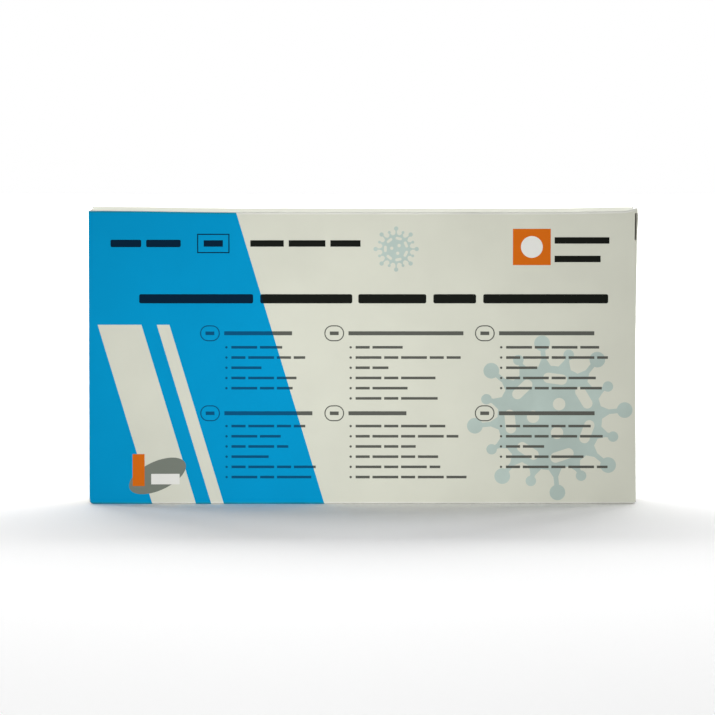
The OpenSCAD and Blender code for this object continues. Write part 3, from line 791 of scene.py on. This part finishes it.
def plastic(name, colour, roughness, transmission=0.0):
    """Moulded plastic, with a faint change of tone and a fine grain."""
    material, tree, shader = new_material(name, colour, roughness)
    shader.inputs["Transmission Weight"].default_value = transmission
    shader.inputs["IOR"].default_value = PLASTIC_IOR
    mould = noise_node(tree, 220, detail=3)
    vary_colour(tree, shader, mould, shade(colour, 0.97), shade(colour, 1.02))
    fine = noise_node(tree, 1800, detail=2)
    add_bump(tree, shader, [(fine, 0.08, 0.03)])
    return material


def film(name, colour):
    """Thin plastic film with upright creases."""
    material, tree, shader = new_material(name, colour, 0.32)
    wave = noise_node(tree, 120, detail=5, stretch=(1, 1, 0.4))
    vary_colour(tree, shader, wave, shade(colour, 0.9), shade(colour, 1.05))
    add_bump(tree, shader, [(wave, 0.5, 0.6)])
    return material


def paper(name, colour):
    """Uncoated paper, matt and fibrous."""
    material, tree, shader = new_material(name, colour, 0.8, specular=0.25)
    fibre = noise_node(tree, 1500, detail=5)
    vary_colour(tree, shader, fibre, shade(colour, 0.95), shade(colour, 1.03))
    add_bump(tree, shader, [(fibre, 0.2, 0.04)])
    return material


def foil(name):
    """Laminated foil, crinkled and satin."""
    material, tree, shader = new_material(name, FOIL, 0.34, metallic=1.0)
    crinkle = noise_node(tree, 160, detail=8, roughness=0.62)
    fine = noise_node(tree, 900, detail=4)
    vary_colour(tree, shader, crinkle, FOIL_DARK, FOIL_LIGHT)
    add_bump(tree, shader, [(crinkle, 0.6, 0.8), (fine, 0.25, 0.08)])
    return material


# The pouch, in millimetres: its seals' width and thickness, the width and height of the flat thing
# inside, the room left in front, and how far it swells from the seals and falls off beside that thing
POUCH_SEAL = 8.0
POUCH_SEAL_T = 0.3
POUCH_BULGE = (72.0, 24.0)
POUCH_SLACK = 0.35
POUCH_SWELL_RUN = 14.0
POUCH_FALL_RUN = (18.0, 16.0)

# The share of its thickness that the pouch keeps beside the flat thing
POUCH_LOOSE = 0.22

# The seals' crimps: height and pitch
CRIMP_HEIGHT = 0.06
CRIMP_PITCH = 1.6

# The foil's crumples: waves a millimetre, place in the noise, and height
CRUMPLES = [(0.09, 1.7, 0.5), (0.3, 4.1, 0.2)]

# The least thickness anywhere, and how far the flat back lies inside the pouch's box
POUCH_LEAST = 0.15
POUCH_BACK_IN = 0.01

# Numbers of strips up and across the pouch
POUCH_ROWS = 76
POUCH_COLUMNS = 114


def make_pouch():
    """The sealed foil pouch: flat crimped seals round a crinkled pillow over the flat thing inside."""
    lo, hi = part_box("foil_pouch")
    x0, x1, z0, z1 = lo.x / MM, hi.x / MM, lo.z / MM, hi.z / MM
    back, front = hi.y / MM, lo.y / MM
    middle_x, middle_z = (x0 + x1) / 2, (z0 + z1) / 2
    most = back - front - POUCH_SEAL_T - POUCH_SLACK
    bm = bmesh.new()
    rows = []
    for z in spread(z0, z1, POUCH_ROWS):
        row = []
        for x in spread(x0, x1, POUCH_COLUMNS):
            edge = min(x - x0, x1 - x, z - z0, z1 - z)
            swell = smooth((edge - POUCH_SEAL) / POUCH_SWELL_RUN)
            flat_x = smooth(1 - (abs(x - middle_x) - POUCH_BULGE[0] / 2) / POUCH_FALL_RUN[0])
            flat_z = smooth(1 - (abs(z - middle_z) - POUCH_BULGE[1] / 2) / POUCH_FALL_RUN[1])
            body = POUCH_LOOSE + (1 - POUCH_LOOSE) * flat_x * flat_z
            crumple = sum(noise.noise(Vector((x * f, z * f, place))) * high for f, place, high in CRUMPLES)
            crimp = CRIMP_HEIGHT * math.sin(2 * math.pi * edge / CRIMP_PITCH) if edge < POUCH_SEAL else 0.0
            depth = POUCH_SEAL_T + swell * (most * body + crumple * swell) + crimp
            row.append(to_metres(x, back - max(depth, POUCH_LEAST), z))
        rows.append(row)
    add_grid(bm, rows)
    extruded = bmesh.ops.extrude_edge_only(bm, edges=[e for e in bm.edges if e.is_boundary])
    for v in [g for g in extruded["geom"] if isinstance(g, bmesh.types.BMVert)]:
        v.co.y = (back - POUCH_BACK_IN) * MM
    bmesh.ops.holes_fill(bm, edges=[e for e in bm.edges if e.is_boundary])
    bmesh.ops.recalc_face_normals(bm, faces=bm.faces)
    pouch = new_object("foil_pouch_shell", bm, [foil("foil")])
    smooth_shading(pouch, 50)
    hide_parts("foil_pouch")
    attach(pouch, "carton")


def make_contents():
    """The pouch, and the finish of the other things inside."""
    make_pouch()
    dress("leaflet", paper("leaflet_paper", LEAFLET_WHITE), True)
    dress("disposal_bag", film("bag_film", BAG_YELLOW), True)
    clear = plastic("clear_plastic", CLEAR_PLASTIC, 0.18, transmission=0.75)
    dress("collection_tube", clear, True)
    white = plastic("white_plastic", WHITE_PLASTIC, 0.38)
    dress("nozzle_cap", white, True)
    dress("collection_funnel", white, True)
    milky = plastic("ampoule_plastic", AMPOULE_PLASTIC, 0.25, transmission=0.6)
    dress("buffer_ampoule", milky, True)


# Stage, light and camera

# What the floor and the surroundings give the object, and what they show to the camera, in reflections
# and through clear things
FLOOR_GIVEN = 0.3
FLOOR_SEEN = 1.0
FLOOR_GLOW_SEEN = 0.06
SKY_GIVEN = 0.16
SKY_SEEN = 1.0
# The floor's reach from the carton, in metres: where it ends, the white surroundings go on
FLOOR_REACH = 1.7


def seen_or_given(tree, given, seen):
    """One level for the camera, reflections and clear things, and another for everything else."""
    path = tree.nodes.new("ShaderNodeLightPath")
    mirrored = tree.nodes.new("ShaderNodeMath")
    mirrored.operation = "MAXIMUM"
    either = tree.nodes.new("ShaderNodeMath")
    either.operation = "MAXIMUM"
    level = tree.nodes.new("ShaderNodeMapRange")
    level.inputs["To Min"].default_value = given
    level.inputs["To Max"].default_value = seen
    tree.links.new(path.outputs["Is Glossy Ray"], mirrored.inputs[0])
    tree.links.new(path.outputs["Is Transmission Ray"], mirrored.inputs[1])
    tree.links.new(path.outputs["Is Camera Ray"], either.inputs[0])
    tree.links.new(mirrored.outputs[0], either.inputs[1])
    tree.links.new(either.outputs[0], level.inputs["Value"])
    return level.outputs["Result"]


def make_floor():
    """A white floor that ends where it is still fully lit, so that it runs on into the surroundings."""
    material, tree, shader = new_material("floor", (1, 1, 1), 1.0, specular=0.0)
    tree.links.new(seen_or_given(tree, FLOOR_GIVEN, FLOOR_SEEN), shader.inputs["Base Color"])
    shader.inputs["Emission Color"].default_value = (1, 1, 1, 1)
    tree.links.new(seen_or_given(tree, 0.0, FLOOR_GLOW_SEEN), shader.inputs["Emission Strength"])
    bm = bmesh.new()
    bmesh.ops.create_grid(bm, x_segments=1, y_segments=1, size=FLOOR_REACH)
    new_object("floor", bm, [material])


def make_world():
    """White surroundings that give the object little light."""
    world = bpy.data.worlds.new("studio")
    bpy.context.scene.world = world
    world.use_nodes = True
    tree = world.node_tree
    background = tree.nodes["Background"]
    background.inputs["Color"].default_value = (1, 1, 1, 1)
    tree.links.new(seen_or_given(tree, SKY_GIVEN, SKY_SEEN), background.inputs["Strength"])


def add_lamp(name, kind, place, aim, watts):
    """Adds a lamp at place that faces aim, both in millimetres, and gives its data."""
    data = bpy.data.lights.new(name, kind)
    data.energy = watts
    lamp = bpy.data.objects.new(name, data)
    lamp.location = to_metres(*place)
    lamp.rotation_euler = (lamp.location - to_metres(*aim)).to_track_quat("Z", "Y").to_euler()
    bpy.context.scene.collection.objects.link(lamp)
    return data


def add_panel_lamp(name, place, aim, watts, wide, tall):
    """A flat soft lamp, wide and tall in metres."""
    data = add_lamp(name, "AREA", place, aim, watts)
    data.shape = "RECTANGLE"
    data.size = wide
    data.size_y = tall


def make_lamps():
    """Panels high behind the carton and beside it, a low one in front, and a soft spot on the front."""
    add_panel_lamp("back_panel", place=(0, 1500, 1050), aim=(0, 0, 0), watts=42, wide=2.2, tall=0.8)
    for side, name in ((-1, "left_panel"), (1, "right_panel")):
        add_panel_lamp(name, place=(side * 1450, 770, 800), aim=(0, 0, 0), watts=13, wide=0.8, tall=0.8)
    front_aim = (0, -HALF_D, 40)
    add_panel_lamp("front_panel", place=(-300, -1800, 160), aim=front_aim, watts=24, wide=1.2, tall=0.4)
    spot = add_lamp("front_spot", "SPOT", place=(-60, -1200, 50), aim=(-10, -HALF_D, 32), watts=22)
    spot.spot_size = math.radians(11)
    spot.spot_blend = 1.0
    spot.shadow_soft_size = 0.06


def make_camera():
    """The camera in front, aimed so that the front face falls where it does in the picture."""
    camera = bpy.data.cameras.new("camera")
    camera.sensor_width = SENSOR_MM
    camera.lens = SENSOR_MM * CAMERA_DISTANCE / (PIXELS / PIXELS_PER_MM * MM)
    camera.clip_end = FARTHEST_SEEN
    obj = bpy.data.objects.new("camera", camera)
    aim = to_metres(
        (PIXELS / 2 - FRONT_MIDDLE_PX[0]) / PIXELS_PER_MM,
        -HALF_D,
        HEIGHT / 2 + (FRONT_MIDDLE_PX[1] - PIXELS / 2) / PIXELS_PER_MM,
    )
    back = Vector((0, -math.cos(CAMERA_ELEVATION), math.sin(CAMERA_ELEVATION)))
    obj.location = aim + back * CAMERA_DISTANCE
    obj.rotation_euler = back.to_track_quat("Z", "Y").to_euler()
    bpy.context.scene.collection.objects.link(obj)
    bpy.context.scene.camera = obj


make_camera()
make_sleeve()
make_closure("left_closure", -1)
make_closure("right_closure", 1)
make_hinge_crease("left_closure", -1)
make_hinge_crease("right_closure", 1)
make_field()
make_prints()
make_contents()
make_floor()
make_world()
make_lamps()
bpy.context.scene.view_settings.view_transform = "Standard"
